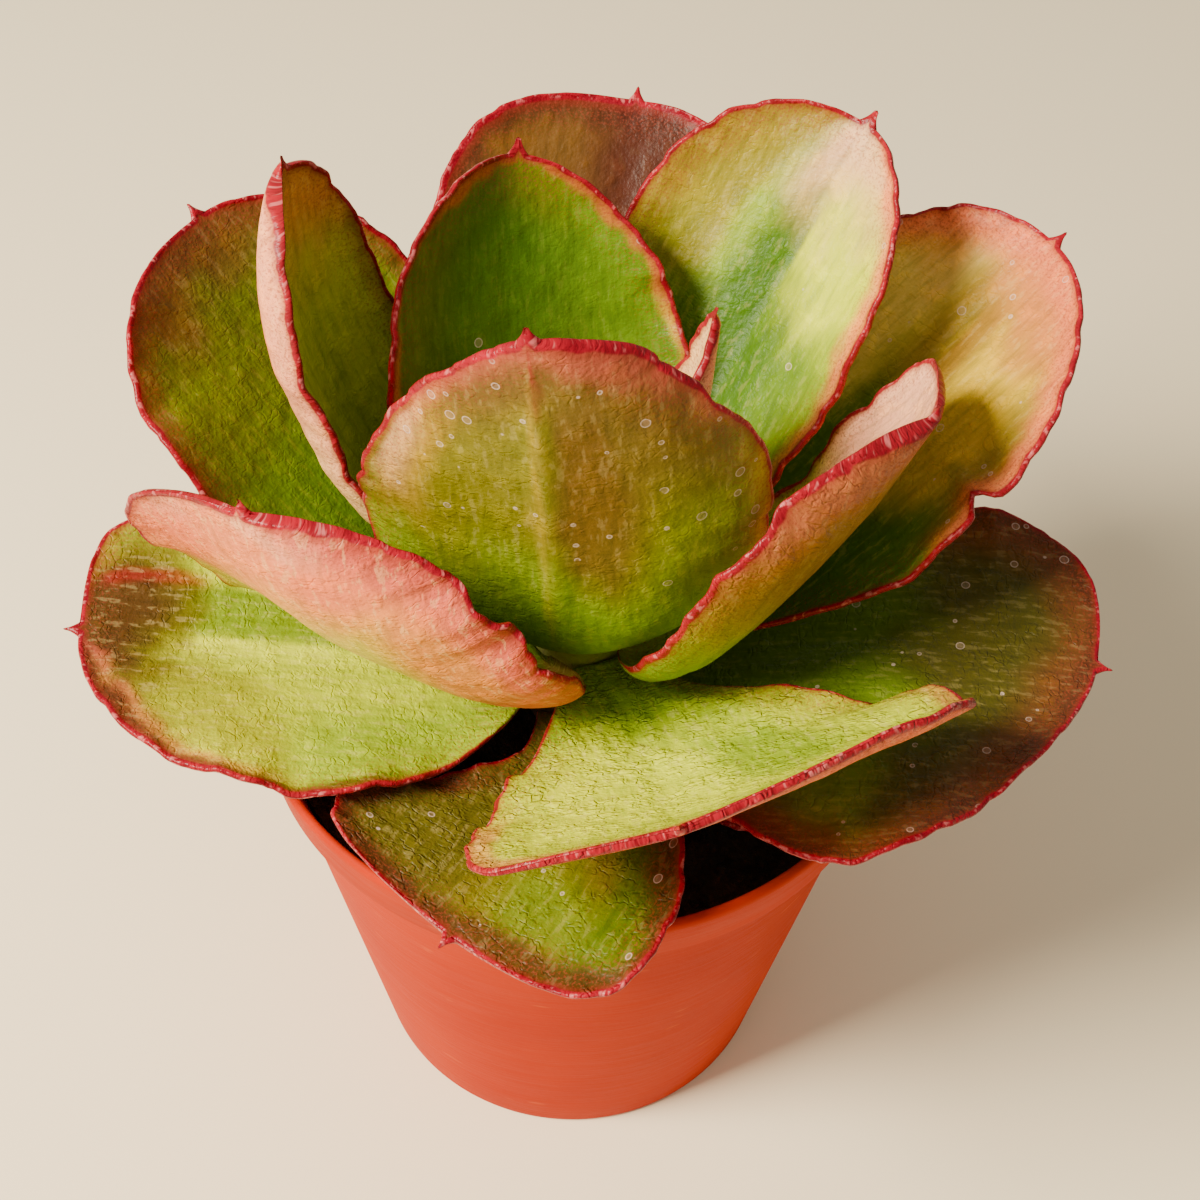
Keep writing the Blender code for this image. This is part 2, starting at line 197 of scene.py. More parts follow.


# What is painted on each face of each leaf, from the ground colour up, and its texture; a few washes are
# painted light and shade, marked where they stand.
# wrinkle: depth of the fine wrinkles, fleck: share of pale flecks, drops: share of dried drops,
# edge: width of the red margin line in millimetres
PAINT = {
    "leaf_front_upright": dict(
        upper=[(BRIGHT_GREEN, 1), (GREEN, 0.8, tipward(0.2, 0.6)), (BROWN, 0.6, rimward(2, 8))],
        back=[
            (BRIGHT_GREEN, 1),
            (GREEN, 0.4, across(-2, -1.5, -0.1, 0.3)),
            (BROWN, 0.5, across(-0.9, -0.6, -0.3, -0.1), tipward(0.5, 0.75)),
            (OLIVE, 0.95, tipward(0.25, 0.6)),
            (BROWN, 0.7, across(0, 0.1, 0.25, 0.5), along(0.3, 0.45, 0.75, 0.9)),
            (BROWN, 0.5, across(0.2, 0.5, 0.8, 1), tipward(0.5, 0.75)),
            (BROWN, 0.7, tipward(0.7, 0.95), rimward(5, 14)),
            (ROSE, 0.55, tipward(0.7, 0.85), rimward(1, 5)),
            (YELLOW, 0.7, across(0.7, 0.95, 2, 3), along(0.3, 0.4, 0.6, 0.75), rimward(0, 5)),
            # painted highlight: tan and pale pink patches near the first margin stand for light on that
            # facet
            (TAN, 0.5, across(-0.95, -0.85, -0.7, -0.5), along(0.45, 0.65, 0.75, 0.9)),
            (PALE_PINK, 0.35, across(-0.95, -0.9, -0.82, -0.65), along(0.55, 0.68, 0.76, 0.84)),
            # painted highlight: a pale line along the lit side of the keel
            (TAN, 0.2, across(-0.09, -0.06, -0.03, 0), along(0.1, 0.3, 0.9, 1)),
            (DEEP_RED, 0.6, across(-0.04, 0, 0.02, 0.06), tipward(0.8, 0.95)),
        ],
        wrinkle=0.25, fleck=0.35, drops=0.9, edge=1.3,
    ),
    "leaf_back_centre": dict(
        upper=[
            (GREEN, 1),
            (DEEP_GREEN, 0.8, across(-0.7, 0.1, 2, 3)),
            (OLIVE, 0.4, across(0.4, 0.9, 2, 3)),
            (GREEN, 0.8, across(-2, -1.5, -0.7, -0.2), along(-1, 0, 0.6, 0.9)),
            (OLIVE, 0.6, tipward(0.8, 1)),
            (CORAL, 0.5, rimward(0.8, 2.6)),
            (YELLOW, 0.8, across(-2, -1.5, -0.9, -0.7), along(0.05, 0.15, 0.5, 0.65), rimward(1, 3)),
        ],
        back=[(GREEN, 1), (SALMON, 0.5, tipward(0.5, 0.9))],
        wrinkle=0.1, fleck=0.15, drops=0.05, edge=1.1,
    ),
    "leaf_back_right": dict(
        upper=[
            (LIME, 1),
            # painted light: pale lime on the first flank stands for that flank facing the light
            (PALE_LIME, 0.4, across(-2, -1.5, -0.2, 0), tipward(0.45, 0.6)),
            (BRIGHT_GREEN, 0.7, across(-0.02, 0.05, 2, 3)),
            (TAN, 0.5, across(0.35, 0.5, 2, 3), tipward(0.5, 0.75)),
            (OLIVE, 0.6, across(0.3, 0.5, 0.8, 1), tipward(0.4, 0.6)),
            # painted shade: green beside the midrib, sharp at the midrib and soft outwards, darkens the
            # groove
            (GREEN, 0.9, across(-0.02, 0.03, 0.1, 0.4), along(0.3, 0.5, 0.78, 0.92)),
            (BRIGHT_GREEN, 0.9, along(-1, -0.5, 0.5, 0.68), across(-1.2, -1, 2, 3)),
            (GREEN, 0.9, along(-1, -0.5, 0.5, 0.66), across(-0.8, -0.5, 2, 3)),
            # painted shade: deep green along the midrib from the base, and again beside it further up,
            # darkens the groove
            (DEEP_GREEN, 0.85, across(-0.4, -0.2, 0.1, 0.3), along(0, 0.2, 0.6, 0.8)),
            (DEEP_GREEN, 0.8, across(-0.02, 0.02, 0.12, 0.32), along(0.3, 0.5, 0.74, 0.86)),
            (BRONZE, 0.5, across(0.2, 0.4, 2, 3), rimward(1, 8), tipward(0.5, 0.7)),
            (PALE_PINK, 0.8, tipward(0.75, 0.95), across(-2, -1.5, 0.1, 0.5)),
            (PINK, 0.85, across(-2, -1.5, -0.8, -0.5), rimward(1.5, 5)),
        ],
        back=[(LIME, 1), (PINK, 0.6, tipward(0.5, 0.9))],
        wrinkle=0.2, fleck=0.4, drops=0.1, edge=1.1,
    ),
    "leaf_right_back": dict(
        upper=[
            (GREEN, 1),
            (TAN, 0.6, tipward(0.45, 0.75)),
            (LIME, 0.5, across(0.1, 0.3, 0.7, 0.9), along(0.4, 0.6, 0.8, 0.95)),
            (YELLOW, 0.75, across(-0.75, -0.6, -0.3, -0.15), along(0.4, 0.55, 0.78, 0.88)),
            # painted shadow: deep green on the lower part of the first flank, where leaf_right_curled's
            # shadow falls
            (DEEP_GREEN, 0.7, across(-2, -1.5, -0.2, 0.1), along(-1, -0.5, 0.35, 0.5)),
            # painted shade: green beside the midrib, sharp at the midrib and soft outwards, darkens the
            # midrib fold
            (GREEN, 0.8, across(-0.02, 0.02, 0.1, 0.3), along(-1, -0.5, 0.6, 0.78)),
            (BRONZE, 0.5, across(-0.25, -0.12, -0.06, 0), along(0.45, 0.6, 0.8, 0.9)),
            # painted light: a cream patch brightens the second flank where it lies in shade
            (CREAM, 0.6, across(0.15, 0.35, 2, 3), along(0.35, 0.5, 0.85, 0.95)),
            (PINK, 0.65, tipward(0.76, 0.96)),
            (PINK, 0.8, rimward(2, 7), tipward(0.5, 0.6)),
        ],
        back=[(GREEN, 1), (PINK, 0.6, tipward(0.4, 0.9))],
        wrinkle=0.3, fleck=0.5, drops=0.3, edge=1.1,
    ),
    "leaf_left_upright": dict(
        upper=[
            (LIME, 1),
            (BRIGHT_GREEN, 0.6, along(-1, -0.5, 0.3, 0.6)),
            (PALE_LIME, 0.5, across(-2, -1.5, -0.2, 0)),
            (TAN, 0.7, tipward(0.7, 0.9)),
            (ROSE, 0.5, tipward(0.8, 0.95)),
            (BRONZE, 0.5, rimward(1, 4)),
        ],
        back=[
            (CREAM, 1),
            (LIME, 0.5, along(-1, -0.5, 0.3, 0.5)),
            (PINK, 0.9, tipward(0.4, 0.65)),
            (PALE_PINK, 0.5, rimward(4, 9)),
        ],
        wrinkle=0.2, fleck=0.5, drops=0, edge=1,
    ),
    "leaf_left_back": dict(
        upper=[
            (GREEN, 1),
            (OLIVE, 0.4, tipward(0.4, 0.75)),
            (BROWN, 0.8, tipward(0.78, 0.94)),
            (BROWN, 0.65, rimward(1.5, 6)),
        ],
        back=[(GREEN, 1), (SALMON, 0.6, tipward(0.4, 0.9))],
        wrinkle=0.2, fleck=0.25, drops=0, edge=1.3,
    ),
    "leaf_far_back": dict(
        upper=[
            (GREEN, 1),
            (DARK_OLIVE, 0.6, tipward(0.3, 0.7)),
            (BROWN, 0.8, tipward(0.4, 0.8)),
            (MAROON, 0.9, tipward(0.6, 0.8), across(-2, -1.5, 0, 0.4)),
            (MAROON, 0.7, rimward(2, 6)),
        ],
        back=[(GREEN, 1), (SALMON, 0.6, tipward(0.4, 0.9))],
        wrinkle=0.1, fleck=0.05, drops=0, edge=1.9,
    ),
    "leaf_low_back": dict(
        upper=[(BRIGHT_GREEN, 1), (BROWN, 0.7, tipward(0.5, 0.9)), (CORAL, 0.6, rimward(1, 4))],
        back=[(GREEN, 1), (SALMON, 0.5, tipward(0.5, 0.9))],
        wrinkle=0.2, fleck=0.2, drops=0, edge=1.3,
    ),
    "leaf_right_curled": dict(
        upper=[
            (LIME, 1),
            (CREAM, 0.7, tipward(0.5, 0.8)),
            (PALE_PINK, 0.95, tipward(0.45, 0.7)),
            (GREEN, 0.7, along(-1, -0.5, 0.2, 0.4)),
        ],
        back=[
            (BRIGHT_GREEN, 1),
            (TAN, 0.6, tipward(0.2, 0.5)),
            (BRONZE, 0.75, tipward(0.35, 0.6)),
            (ROSE, 0.5, tipward(0.5, 0.8), rimward(3, 9)),
        ],
        wrinkle=0.5, fleck=0.35, drops=0, edge=1.5,
    ),
    "leaf_right_low": dict(
        upper=[
            (DARK_OLIVE, 1),
            (GREEN, 0.6, along(-1, -0.5, 0.5, 0.7)),
            (BRIGHT_GREEN, 0.6, across(-1, -0.8, -0.4, -0.1), along(0.15, 0.3, 0.5, 0.7)),
            (BROWN, 0.9, rimward(3, 12)),
            (MAROON, 0.6, rimward(1, 4)),
        ],
        back=[(GREEN, 1), (SALMON, 0.6, tipward(0.4, 0.9))],
        wrinkle=0.5, fleck=0.3, drops=0.5, edge=0.9,
    ),
    "leaf_front": dict(
        upper=[
            (LIME, 1),
            (BRIGHT_GREEN, 0.9, along(-1, -0.5, 0.22, 0.38)),
            # painted sheen: a pale lime patch over the middle of the blade
            (PALE_LIME, 0.7, along(0.35, 0.5, 0.8, 0.9), across(-0.8, -0.5, 0.2, 0.4)),
            (BRIGHT_GREEN, 0.7, across(0.15, 0.3, 0.5, 0.7), along(0.3, 0.45, 0.65, 0.8)),
            (ROSE, 0.55, rimward(1.5, 4), tipward(0.5, 0.7)),
            (BROWN, 0.4, across(0.6, 0.8, 2, 3), rimward(1, 9)),
        ],
        back=[(SALMON, 1), (CORAL, 0.4, rimward(2, 5))],
        wrinkle=1, fleck=0.7, drops=0, edge=1,
    ),
    "leaf_left_curled": dict(
        upper=[(BRIGHT_GREEN, 1), (LIME, 0.7, tipward(0.3, 0.6)), (ROSE, 0.4, rimward(1, 4))],
        back=[
            (SALMON, 1),
            (TAN, 0.5, across(0.1, 0.3, 0.7, 0.9), along(0.2, 0.4, 0.7, 0.9)),
            (LIME, 0.75, along(-1, -0.5, 0.6, 0.85), across(-2, -1.5, 0.25, 0.6)),
            (CREAM, 0.4, across(-0.6, -0.3, 0.1, 0.4)),
            (PINK, 0.8, tipward(0.6, 0.85)),
            (PALE_PINK, 0.5, tipward(0.9, 1)),
            (ROSE, 0.8, rimward(2, 8), across(0.2, 0.5, 2, 3)),
            (DEEP_RED, 0.4, rimward(1, 3.5), across(0.2, 0.5, 2, 3)),
        ],
        wrinkle=0.3, fleck=1, drops=0, edge=1.2,
    ),
    "leaf_left_low": dict(
        upper=[
            (LIME, 1),
            (BRIGHT_GREEN, 0.7, across(0.3, 0.6, 2, 3), along(-1, -0.5, 0.45, 0.65)),
            # painted shade: a green band on the first flank beside the midrib darkens the channel
            (GREEN, 0.75, across(-0.55, -0.4, -0.1, 0.02), along(0.25, 0.45, 0.8, 0.9)),
            # painted highlights: pale lime stripes along the flank and just beside the midrib stand for
            # light on the creases
            (PALE_LIME, 0.8, across(-0.85, -0.7, -0.6, -0.45), along(0.2, 0.35, 0.6, 0.8)),
            (PALE_LIME, 0.9, across(-0.04, 0, 0.06, 0.14), along(0.1, 0.3, 0.7, 0.9)),
            (OLIVE, 0.5, across(0.15, 0.3, 0.6, 0.9), along(0.5, 0.65, 0.85, 0.95)),
            (OLIVE, 0.7, tipward(0.7, 0.85)),
            (MAROON, 0.9, tipward(0.72, 0.9), across(-0.9, -0.5, 0.3, 0.7)),
            (DEEP_RED, 0.6, across(-0.6, -0.52, -0.48, -0.38), along(0.7, 0.8, 0.95, 1)),
            (ROSE, 0.5, across(0.2, 0.4, 2, 3), rimward(2.5, 5), tipward(0.5, 0.7)),
            (MAROON, 0.8, across(0.3, 0.5, 2, 3), rimward(1.2, 3), tipward(0.2, 0.4)),
            (BRONZE, 0.5, across(-2, -1.5, -0.7, -0.4), rimward(1, 4)),
        ],
        back=[(SALMON, 1)],
        wrinkle=0.4, fleck=0.6, drops=0, edge=1.2,
    ),
    "leaf_front_low": dict(
        upper=[
            (OLIVE, 1),
            (DARK_OLIVE, 0.8, across(-2, -1.5, -0.3, 0.1)),
            (BRONZE, 0.9, across(-0.1, 0.1, 0.3, 0.5), along(-1, -0.5, 0.5, 0.65)),
            (GREEN, 0.6, across(-0.1, 0.2, 0.5, 0.8), along(0.6, 0.75, 0.85, 0.95)),
            (DEEP_GREEN, 0.7, across(0.5, 0.7, 2, 3)),
            (MAROON, 0.8, rimward(2.5, 6), tipward(0.3, 0.5)),
        ],
        back=[(SALMON, 1)],
        wrinkle=0.6, fleck=0.3, drops=0.4, edge=1,
    ),
    "leaf_low_right_front": dict(
        upper=[(DEEP_GREEN, 1), (BROWN, 0.6, rimward(1, 4))],
        back=[(GREEN, 1)],
        wrinkle=0.2, fleck=0.1, drops=0, edge=0.7,
    ),
    "leaf_inner_right": dict(
        upper=[(PALE_LIME, 1), (PALE_PINK, 0.8, tipward(0.5, 0.8))],
        back=[(BRIGHT_GREEN, 1), (PALE_PINK, 0.85, tipward(0.45, 0.7)), (CORAL, 0.6, tipward(0.8, 1))],
        wrinkle=0.2, fleck=0.4, drops=0, edge=0.8,
    ),
    "leaf_bud_left": dict(
        upper=[(LIME, 1), (PALE_PINK, 0.5, tipward(0.6, 0.9))],
        back=[(BRIGHT_GREEN, 1), (PINK, 0.6, tipward(0.5, 0.9))],
        wrinkle=0.2, fleck=0.3, drops=0, edge=0.8,
    ),
    "leaf_bud_back": dict(
        upper=[(LIME, 1), (PALE_PINK, 0.5, tipward(0.6, 0.9))],
        back=[(BRIGHT_GREEN, 1), (PINK, 0.6, tipward(0.5, 0.9))],
        wrinkle=0.2, fleck=0.3, drops=0, edge=0.7,
    ),
}

# Where a leaf's relief differs from the usual: depth of the groove above and the keel below, and their
# half-width, in millimetres; crimp and scallop are how wavy and how notched the margin is; a notch has its
# share of the length and its depth, in one flank.
RELIEF = {
    "leaf_front_upright": dict(keel=1.2, spine_width=1.5, scallop=1.5),
    "leaf_back_centre": dict(groove=0, crimp=0.6, scallop=0.6),
    "leaf_back_right": dict(groove=1.4, spine_width=3.5),
    "leaf_right_back": dict(groove=1.1, notch=((0.62, 4), None)),
    "leaf_left_low": dict(groove=1.3, spine_width=3.5),
    "leaf_front": dict(crimp=1.2),
    "leaf_inner_right": dict(groove=0.2, keel=0.2, spine_width=1, crimp=0.5),
    "leaf_bud_left": dict(groove=0.2, keel=0.2, spine_width=1, crimp=0.4),
    "leaf_bud_back": dict(groove=0.1, keel=0.1, spine_width=1, crimp=0.3),
}


def stem_radius(height):
    """Radius of the stem at a height."""
    share = (height - SOIL_LEVEL) / (STEM_TOP - SOIL_LEVEL)
    return STEM_LOW_RADIUS + (STEM_TOP_RADIUS - STEM_LOW_RADIUS) * min(max(share, 0), 1)


def leaf_outline(rows, length, width, lean, widest, blunt, waist):
    """Distances along the midrib, closer towards the tip, and how far the two flanks reach there."""
    share = np.sin(np.linspace(0, pi / 2, rows))
    base = min(BASE_WIDTH_SHARE, 2 * BASE_HALF_WIDTH / width)
    reaches = []
    for k, side_share in enumerate((1 - lean, 1 + lean)):
        opening = np.sin(pi / 2 * np.minimum(share / widest[k], 1)) ** waist[k]
        closing = np.clip((share - widest[k]) / (1 - widest[k]), 0, 1)
        reach = base + (side_share - base) * opening
        reach = reach * (1 - closing ** (2 / blunt[k])) ** (blunt[k] / 2)
        reaches.append(np.maximum(reach * width / 2, MUCRO_HALF_WIDTH))
    return share * length, reaches


def midrib(distances, azimuth, height, rise, sweep, roll, length):
    """Points, headings, side directions and upper normals of a leaf at the given distances."""
    steps = np.linspace(0, 1.1 * length, 221)
    share = steps / length
    slope = np.radians(np.interp(share, (0, 0.33, 1), rise))
    heading = np.radians(azimuth)
    level = np.array([cos(heading), sin(heading), 0])
    straight = np.cos(slope)[:, None] * level + np.sin(slope)[:, None] * np.array([0, 0, 1])
    square = np.array([-sin(heading), cos(heading), 0])
    bend = np.radians(sweep * share)[:, None]
    ahead = straight * np.cos(bend) + square * np.sin(bend)
    side = square * np.cos(bend) - straight * np.sin(bend)
    upper = np.cross(ahead, side)
    twist = np.radians(roll[0] + (roll[1] - roll[0]) * share)[:, None]
    rolled_side = side * np.cos(twist) + upper * np.sin(twist)
    rolled_upper = upper * np.cos(twist) - side * np.sin(twist)
    radius = stem_radius(height) + TOUCH_GAP + 0.2 * BASE_THICKNESS * sin(slope[0])
    start = np.array([radius * cos(heading), radius * sin(heading), height])
    moves = 0.5 * (ahead[1:] + ahead[:-1]) * np.diff(steps)[:, None]
    points = start + np.concatenate([np.zeros((1, 3)), np.cumsum(moves, 0)])
    return [
        np.stack([np.interp(distances, steps, curve[:, k]) for k in range(3)], 1)
        for curve in (points, ahead, rolled_side, rolled_upper)
    ]


def flank(across, curl):
    """Sideways and upward reach and slope of a flank at shares of its width, for a width of one."""
    fine = np.linspace(0, 1, 81)
    slope = np.radians(MIDRIB_FOLD) * np.minimum(1, fine / 0.2) + np.radians(curl) * fine ** 2
    step = fine[1]
    out = np.concatenate([[0], np.cumsum(np.cos(0.5 * (slope[1:] + slope[:-1])) * step)])
    up = np.concatenate([[0], np.cumsum(np.sin(0.5 * (slope[1:] + slope[:-1])) * step)])
    return np.interp(across, fine, out), np.interp(across, fine, up), np.interp(across, fine, slope)


def window(values, low, rise, fall, high):
    """One between rise and fall, and smoothly down to none at low and at high."""
    up = np.clip((values - low) / max(rise - low, 1e-9), 0, 1)
    down = np.clip((high - values) / max(high - fall, 1e-9), 0, 1)
    both = np.minimum(up, down)
    return both * both * (3 - 2 * both)


def bumps(places, scale, level):
    """Smooth noise between about -1 and 1 at rows of places, with this many waves a millimetre."""
    return np.array([noise.noise((x * scale[0], y * scale[1], level)) for x, y in places])


def scallop(distances, reach, dice, size, notch):
    """The reach of a flank with irregular shallow scallops cut into its margin."""
    arc = np.concatenate([[0], np.cumsum(np.hypot(np.diff(distances), np.diff(reach)))])
    cut = 0.04 * MM * np.sin(2 * pi * arc / (2.3 * MM) + dice.uniform(0, 6))
    cut = cut + 0.12 * MM * np.sin(2 * pi * arc / (5.6 * MM) + dice.uniform(0, 6))
    place = arc[-1] - dice.uniform(4, 9) * MM
    while place > 0.3 * arc[-1]:
        cut = cut + size * dice.uniform(0.2, 0.75) * MM * np.exp(-np.abs(arc - place) / (1.3 * MM))
        place = place - dice.uniform(5, 12) * MM
    if notch:
        gash = np.clip(1 - np.abs(distances / distances[-1] - notch[0]) / 0.022, 0, 1)
        cut = cut + notch[1] * MM * gash ** 0.7
    fade = window(arc, 0.1 * arc[-1], 0.4 * arc[-1], arc[-1] - 2 * MM, arc[-1])
    return np.maximum(reach - np.maximum(cut, -0.1 * MM) * fade, MUCRO_HALF_WIDTH)


def distance_to_margin(side_places, run_places, distances, reaches):
    """Distance of each place from the leaf's outline, in the flattened blade."""
    line = [(-reach, run) for reach, run in zip(reaches[0], distances)] + [(0, distances[-1] + 0.3 * MM)]
    line += [(reach, run) for reach, run in zip(reaches[1][::-1], distances[::-1])]
    line = np.array(line)
    start, step = line[:-1], np.diff(line, axis=0)
    square = np.maximum((step ** 2).sum(1), 1e-14)
    x, y = side_places.reshape(-1, 1), run_places.reshape(-1, 1)
    part = np.clip(((x - start[:, 0]) * step[:, 0] + (y - start[:, 1]) * step[:, 1]) / square, 0, 1)
    away = np.hypot(x - start[:, 0] - part * step[:, 0], y - start[:, 1] - part * step[:, 1])
    return away.min(1).reshape(side_places.shape)


def leaf_surfaces(dice, relief, azimuth, height, length, width, rise, curl,
                  roll=(0, 0), sweep=0, lean=0, widest=(0.58, 0.58), blunt=(0.8, 0.8),
                  waist=(0.65, 0.65), wave=(0.8, 0)):
    """Upper and lower faces of a leaf, its mucro's tip, and each place's run, side place and inwards."""
    length = length * MM
    width = width * MM
    distances, reaches = leaf_outline(LEAF_ROWS, length, width, lean, widest, blunt, waist)
    reaches = [scallop(distances, reach, dice, relief["scallop"], notch)
               for reach, notch in zip(reaches, relief["notch"])]
    taper = np.arange(1, MUCRO_ROWS + 1) / (MUCRO_ROWS + 1)
    distances = np.concatenate([distances, length + taper * MUCRO_LENGTH])
    reaches = [np.concatenate([reach, MUCRO_HALF_WIDTH * (1 - taper) ** 1.8]) for reach in reaches]
    rows = len(distances)
    points, ahead, side, upper = midrib(distances, azimuth, height * MM, rise, sweep, roll, length)
    across = np.sin(pi / 2 * np.linspace(-1, 1, LEAF_COLUMNS))
    share = np.minimum(distances / length, 1)
    middle = np.interp(share, (0, 0.25, 0.8, 1), (BASE_THICKNESS, MIDDLE_THICKNESS, 2.4 * MM, 1.4 * MM))
    middle = middle * np.concatenate([np.ones(LEAF_ROWS), 1 - taper])
    ripple = wave[0] * MM * np.sin(2 * pi * 3.3 * share + np.radians(wave[1])) * np.sin(pi * share) ** 0.5
    run_places = np.broadcast_to(distances[:, None], (rows, LEAF_COLUMNS))
    side_places = np.where(across < 0, reaches[0][:, None], reaches[1][:, None]) * across
    inwards = distance_to_margin(side_places, run_places, distances, reaches)
    rim = np.sqrt(np.clip(1 - (1 - np.minimum(inwards / MARGIN_ROUNDING, 1)) ** 2, 0, 1))
    spread = np.stack([side_places.ravel() / MM, run_places.ravel() / MM], 1)
    swell = bumps(spread, (0.12, 0.03), azimuth).reshape(rows, -1) * 0.5 * MM
    swell += bumps(spread, (0.3, 0.12), azimuth + 50).reshape(rows, -1) * 0.2 * MM
    swell *= np.clip(inwards / (2 * MM), 0, 1) * window(run_places / length, 0.05, 0.3, 0.9, 1)
    spine = np.exp(-np.abs(side_places / (relief["spine_width"] * MM)) ** 1.3)
    spine *= window(run_places / length, 0.08, 0.4, 0.75, 0.97)
    top = np.zeros((rows, LEAF_COLUMNS, 3))
    under = np.zeros((rows, LEAF_COLUMNS, 3))
    crimp = [
        sum(
            size * MM * np.sin(2 * pi * count * share + dice.uniform(0, 2 * pi))
            for size, count in ((0.3, 5), (0.2, 9), (0.1, 14), (0.04, 23))
        ) * window(share, 0.1, 0.4, 0.93, 1)
        for _ in range(2)
    ]
    for column, place in enumerate(across):
        k, sign = (1, 1) if place > 0 else (0, -1)
        out, up, slope = flank(abs(place), curl[k])
        lift = reaches[k] * up + ripple * abs(place) ** 3 * (1 if place > 0 else -0.8)
        lift = lift + relief["crimp"] * crimp[k] * abs(place) ** 4
        normal = upper * cos(slope) - side * (sign * sin(slope))
        thickness = MARGIN_THICKNESS + (middle - MARGIN_THICKNESS) * (1 - place ** 2)
        shaved = MARGIN_THICKNESS * (1 - rim[:, column])
        drop = 0.5 * shaved + relief["groove"] * MM * spine[:, column] - 0.5 * swell[:, column]
        keel = relief["keel"] * MM * spine[:, column]
        depth = np.maximum(thickness - 0.5 * shaved + keel, drop + 0.05 * MM)
        sheet = points + side * (sign * reaches[k] * out)[:, None] + upper * lift[:, None]
        top[:, column] = sheet - normal * drop[:, None]
        under[:, column] = sheet - normal * (depth - 0.5 * swell[:, column])[:, None]
    tip = points[-1] + ahead[-1] * MUCRO_LENGTH / (MUCRO_ROWS + 1) - upper[-1] * 0.5 * MARGIN_THICKNESS
    return top, under, tip, run_places, side_places, inwards


def add_mesh(name, points, faces, material, smooth=True):
    """Object with a mesh of the given points and faces."""
    mesh = bpy.data.meshes.new(name)
    mesh.from_pydata([tuple(point) for point in points], [], faces)
    mesh.polygons.foreach_set("use_smooth", [smooth] * len(mesh.polygons))
    mesh.materials.append(material)
    piece = bpy.data.objects.new(name, mesh)
    bpy.context.scene.collection.objects.link(piece)
    return piece


def grid_faces(rows, columns, start, flip):
    """Four-sided faces of a grid of points."""
    i, j = np.meshgrid(np.arange(rows - 1), np.arange(columns - 1), indexing="ij")
    a = (i * columns + j + start).ravel()
    quads = np.stack([a, a + columns, a + columns + 1, a + 1], 1)
    return (quads[:, ::-1] if flip else quads).tolist()


def painted(washes, share, place, inwards, blur):
    """Colours of one face of a leaf: each wash covers the ones before it where its windows let it."""
    colours = np.zeros((len(share), 3))
    for colour, strength, *limits in washes:
        cover = np.full(len(share), float(strength))
        for kind, *edges in limits:
            values = {"along": share, "across": place, "inwards": inwards}[kind]
            cover = cover * window(values + blur[kind], *edges)
        colours += (np.array(colour) - colours) * cover[:, None]
    return colours


def leaf_values(name, number, run, sideways, inwards, reach):
    """What the skin's material reads at each place of the two faces: colour, margin and texture."""
    length = LEAVES[name]["length"]
    share = run.ravel() / MM / length
    place = (sideways / reach).ravel()
    depth = inwards.ravel() / MM
    spread = np.stack([sideways.ravel() / MM, run.ravel() / MM], 1)
    values = {"inwards": np.concatenate([depth, depth, [0]])}
    colours = []
    for face, key in enumerate(("upper", "back")):
        broad = bumps(spread, (0.09, 0.06), number * 7.0 + face)
        small = bumps(spread, (0.35, 0.25), number * 7.0 + face + 3)
        blur = {"along": 0.1 * broad + 0.03 * small, "across": 0.06 * broad + 0.03 * small,
                "inwards": 2.5 * broad + 1.2 * small}
        colours.append(painted(PAINT[name][key], share, place, depth, blur))
    colours = np.concatenate([*colours, colours[0][-1:]])
    for axis, key in enumerate(("red", "green", "blue")):
        values[key] = colours[:, axis]
    values["back"] = np.concatenate([0 * depth, 0 * depth + 1, [1]])
    for key in ("wrinkle", "fleck"):
        values[key] = np.full(2 * len(depth) + 1, float(PAINT[name][key]))
    edge = 0.6 * PAINT[name]["edge"] * np.clip((share - 0.05) / 0.25, 0.05, 1)
    values["edge"] = np.concatenate([edge, edge, edge[-1:]])
    drops = PAINT[name]["drops"] * np.ones(len(depth)) * window(share, 0.3, 0.6, 0.9, 1.02)
    values["drops"] = np.concatenate([drops, drops, [0]])
    flat = np.concatenate([spread, np.full((len(depth), 1), 40.0 * number)], 1)
    flat = np.concatenate([flat, flat + (0, 0, 20), [(0, length, 40.0 * number)]])
    return values, flat


